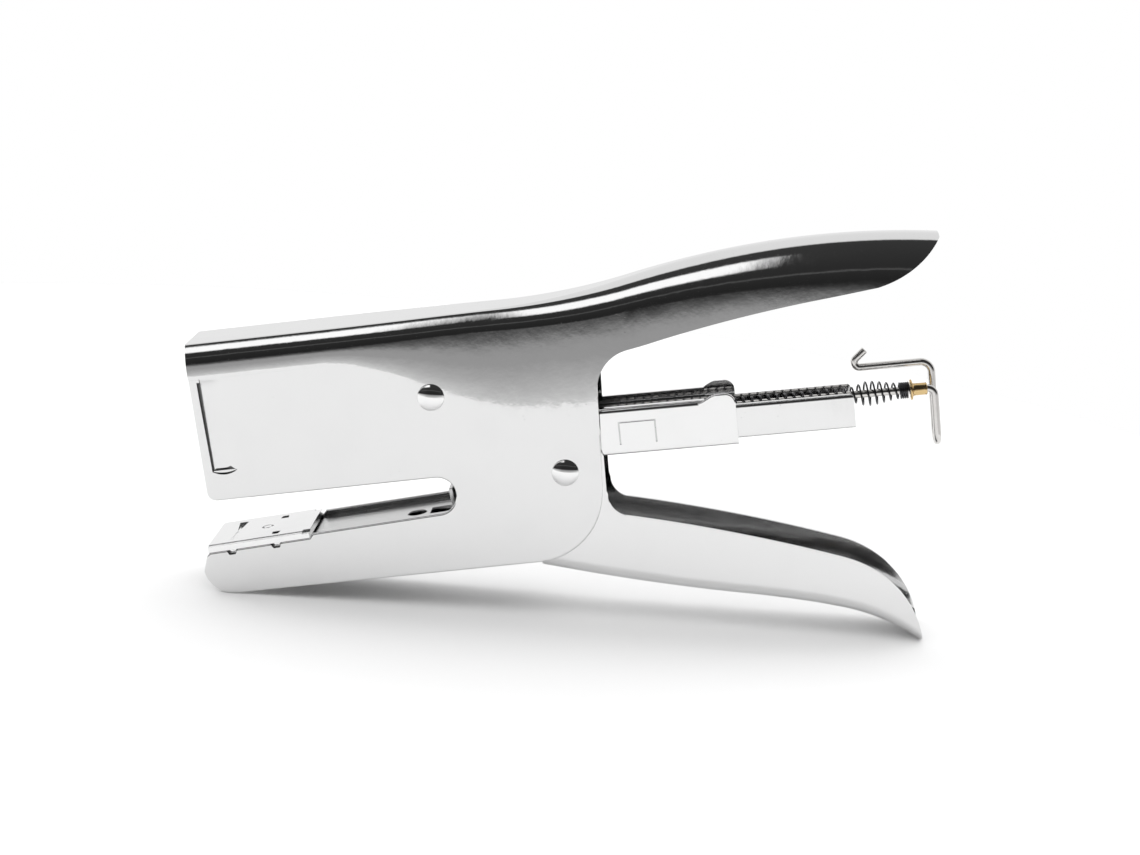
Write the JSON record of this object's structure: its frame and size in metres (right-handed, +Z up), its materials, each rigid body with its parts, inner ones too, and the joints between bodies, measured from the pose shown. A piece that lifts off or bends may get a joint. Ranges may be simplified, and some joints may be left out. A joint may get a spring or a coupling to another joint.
{
  "type": "hand stapling pliers",
  "caption": "Chromed hand stapling pliers: sheet-metal shell with paper throat and handle, pivoting lower handle, tilting magazine, pull-out staple rail with spring and hooked wire.",
  "frame": {"origin": "middle of the overall box in X and Y, on the plane the tool stands on", "axes": "+X from the jaws towards the handles, +Z up, +Y to the side that the wire's second strand is on; the jaws slope down to the front at 10.45 degrees"},
  "size_m": [0.1688, 0.0224, 0.0915],
  "materials": {
    "shell_chrome": "bright chrome plate on pressed sheet steel, faintly rippled",
    "handle_chrome": "bright chrome plate on pressed sheet steel, faintly rippled",
    "inner_plate": "chrome plate, duller inside the jaw",
    "anvil_nickel": "bright plate with pressed clinch grooves",
    "rivet_chrome": "polished domed heads",
    "magazine_chrome": "chrome plate, fine drawing lines",
    "rail_chrome": "chrome plate, fine drawing lines",
    "bright_steel": "bright zinc-plated steel",
    "hardened_steel": "ground hardened steel",
    "spring_steel": "oil-tempered spring wire",
    "black_spring": "black spring wire, semi-gloss",
    "wire_steel": "satin drawn wire",
    "eyelet_brass": "bright turned brass"
  },
  "bodies": {
    "frame": {"frame_shell": "shell_chrome", "jaw_floor": "inner_plate", "anvil_plate": "anvil_nickel", "pivot_rivet": "rivet_chrome", "stop_rivet": "rivet_chrome", "stop_sleeve": "bright_steel", "lift_spring": "spring_steel"},
    "lever": {"lower_handle": "handle_chrome"},
    "driver": {"driver_blade": "hardened_steel", "driver_carrier": "bright_steel", "driver_pin": "bright_steel", "driver_rivets": "bright_steel"},
    "magazine": {"magazine_channel": "magazine_chrome", "magazine_nose": "magazine_chrome", "clamp_spring": "spring_steel"},
    "rail": {"core_rail": "rail_chrome"},
    "pusher": {"staple_pusher": "bright_steel"},
    "rod": {"pull_wire": "wire_steel", "spring_eyelet": "eyelet_brass", "follower_spring": "black_spring"}
  },
  "joints": [
    {"name": "lever_hinge", "type": "hinge", "parent": "frame", "child": "lever", "pos_m": [0.00147, 0, 0.03383], "axis": [0, -1, 0], "range_deg": [0, 19], "stiffness_Nm_per_rad": 4, "springref_deg": -11.46, "deforming": ["clamp_spring"]},
    {"name": "driver_slide", "type": "slide", "parent": "frame", "child": "driver", "axis": [0.1814, 0, -0.9834], "range_m": [0, 0.0206]},
    {"name": "magazine_hinge", "type": "hinge", "parent": "frame", "child": "magazine", "pos_m": [0.00147, 0, 0.03383], "axis": [0, -1, 0], "range_deg": [0, 8.4], "deforming": ["lift_spring"]},
    {"name": "rail_slide", "type": "slide", "parent": "magazine", "child": "rail", "axis": [0.9864, 0, 0.1642], "range_m": [-0.026, 0.08]},
    {"name": "pusher_slide", "type": "slide", "parent": "rail", "child": "pusher", "axis": [0.9864, 0, 0.1642], "range_m": [0, 0.075], "stiffness_N_per_m": 60, "springref_m": -0.03, "deforming": ["follower_spring"]},
    {"name": "rod_slide", "type": "slide", "parent": "rail", "child": "rod", "axis": [0.9864, 0, 0.1642], "range_m": [-0.0078, 0], "stiffness_N_per_m": 200, "springref_m": 0.004}
  ],
  "couplings": [
    {"joint": "driver_slide", "follows": "lever_hinge", "m_per_rad": 0.0621},
    {"joint": "magazine_hinge", "follows": "lever_hinge", "ratio": 0.442}
  ]
}
